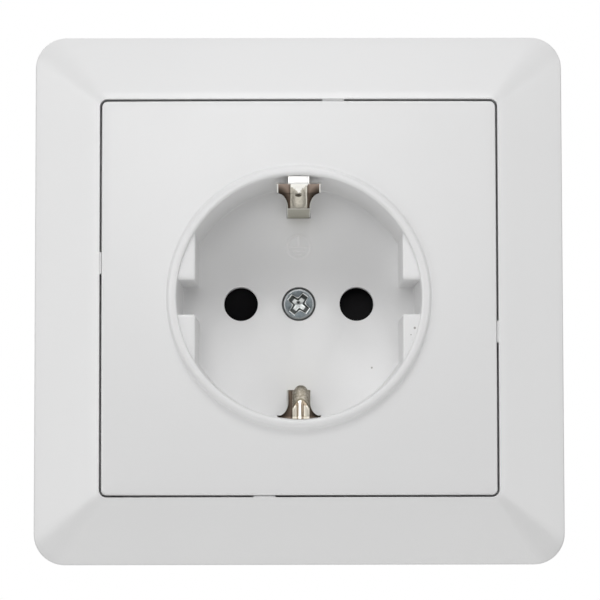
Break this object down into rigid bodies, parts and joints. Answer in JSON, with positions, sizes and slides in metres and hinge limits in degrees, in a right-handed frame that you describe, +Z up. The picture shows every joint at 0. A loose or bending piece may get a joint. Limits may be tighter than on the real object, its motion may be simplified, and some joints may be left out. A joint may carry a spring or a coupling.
{
  "type": "earthed wall socket outlet",
  "caption": "Flush white earthed socket outlet with a square frame, round plug well, side earth clips, shutter and a wall box insert with claws.",
  "frame": {"origin": "centre of the support ring's rear face, on the wall's surface, midway between the two box screws", "axes": "+Z up the wall, +X to the right as seen from the front, the plug well faces -Y and the insert goes back into the wall along +Y"},
  "size_m": [0.085, 0.0442, 0.085],
  "materials": {
    "white_plastic": "smooth moulded, satin to glossy",
    "black_plastic": "moulded, matte",
    "grey_plastic": "moulded, matte",
    "orange_plastic": "moulded, matte",
    "galvanised_sheet": "galvanised, dull",
    "zinc_screws": "zinc plated, slightly blue",
    "nickel_strip": "nickel plated, bright",
    "brass_strip": "bare rolled strip",
    "spring_steel": "bright"
  },
  "bodies": {
    "socket": {"cover_frame": "white_plastic", "centre_plate": "white_plastic", "centre_screw": "zinc_screws", "support_ring": "galvanised_sheet", "ring_rivets": "galvanised_sheet", "body_front": "black_plastic", "body_rear": "black_plastic", "body_screws": "zinc_screws", "earth_bow": "nickel_strip", "earth_bar": "brass_strip", "left_contact": "brass_strip", "right_contact": "brass_strip", "left_clamp_spring": "spring_steel", "right_clamp_spring": "spring_steel", "earth_clamp_spring": "spring_steel", "shutter_spring": "spring_steel", "shutter_retainer": "grey_plastic"},
    "shutter": {"shutter": "black_plastic"},
    "left_claw_screw": {"left_claw_screw": "zinc_screws"},
    "left_claw_nut": {"left_claw_nut": "galvanised_sheet"},
    "left_claw": {"left_claw": "galvanised_sheet"},
    "right_claw_screw": {"right_claw_screw": "zinc_screws"},
    "right_claw_nut": {"right_claw_nut": "galvanised_sheet"},
    "right_claw": {"right_claw": "galvanised_sheet"},
    "left_release_button": {"left_release_button": "orange_plastic"},
    "right_release_button": {"right_release_button": "orange_plastic"},
    "earth_release_button": {"earth_release_button": "orange_plastic"}
  },
  "joints": [
    {"name": "shutter_turn", "type": "hinge", "parent": "socket", "child": "shutter", "pos_m": [0, 0.0092, 0], "axis": [0, 1, 0], "range_deg": [0, 38], "stiffness_Nm_per_rad": 0.004},
    {"name": "left_claw_screw_turn", "type": "hinge", "parent": "socket", "child": "left_claw_screw", "pos_m": [-0.02435, 0, 0], "axis": [0, 1, 0], "range_deg": [0, 900]},
    {"name": "left_claw_nut_travel", "type": "slide", "parent": "socket", "child": "left_claw_nut", "axis": [0, -1, 0], "range_m": [0, 0.00112]},
    {"name": "left_claw_swing", "type": "hinge", "parent": "socket", "child": "left_claw", "pos_m": [-0.0234, 0.017, 0], "axis": [0, 0, 1], "range_deg": [0, 22.82]},
    {"name": "right_claw_screw_turn", "type": "hinge", "parent": "socket", "child": "right_claw_screw", "pos_m": [0.02435, 0, 0], "axis": [0, 1, 0], "range_deg": [0, 900]},
    {"name": "right_claw_nut_travel", "type": "slide", "parent": "socket", "child": "right_claw_nut", "axis": [0, -1, 0], "range_m": [0, 0.00112]},
    {"name": "right_claw_swing", "type": "hinge", "parent": "socket", "child": "right_claw", "pos_m": [0.0234, 0.017, 0], "axis": [0, 0, -1], "range_deg": [0, 22.82]},
    {"name": "left_release_press", "type": "slide", "parent": "socket", "child": "left_release_button", "axis": [0, -1, 0], "range_m": [0, 0.0012], "stiffness_N_per_m": 2000},
    {"name": "right_release_press", "type": "slide", "parent": "socket", "child": "right_release_button", "axis": [0, -1, 0], "range_m": [0, 0.0012], "stiffness_N_per_m": 2000},
    {"name": "earth_release_press", "type": "slide", "parent": "socket", "child": "earth_release_button", "axis": [0, -1, 0], "range_m": [0, 0.0012], "stiffness_N_per_m": 2000}
  ],
  "couplings": [
    {"joint": "left_claw_screw_turn", "follows": "left_claw_nut_travel", "rad_per_m": 13963},
    {"joint": "left_claw_swing", "follows": "left_claw_nut_travel", "rad_per_m": 353.72},
    {"joint": "right_claw_screw_turn", "follows": "right_claw_nut_travel", "rad_per_m": 13963},
    {"joint": "right_claw_swing", "follows": "right_claw_nut_travel", "rad_per_m": 353.72}
  ]
}
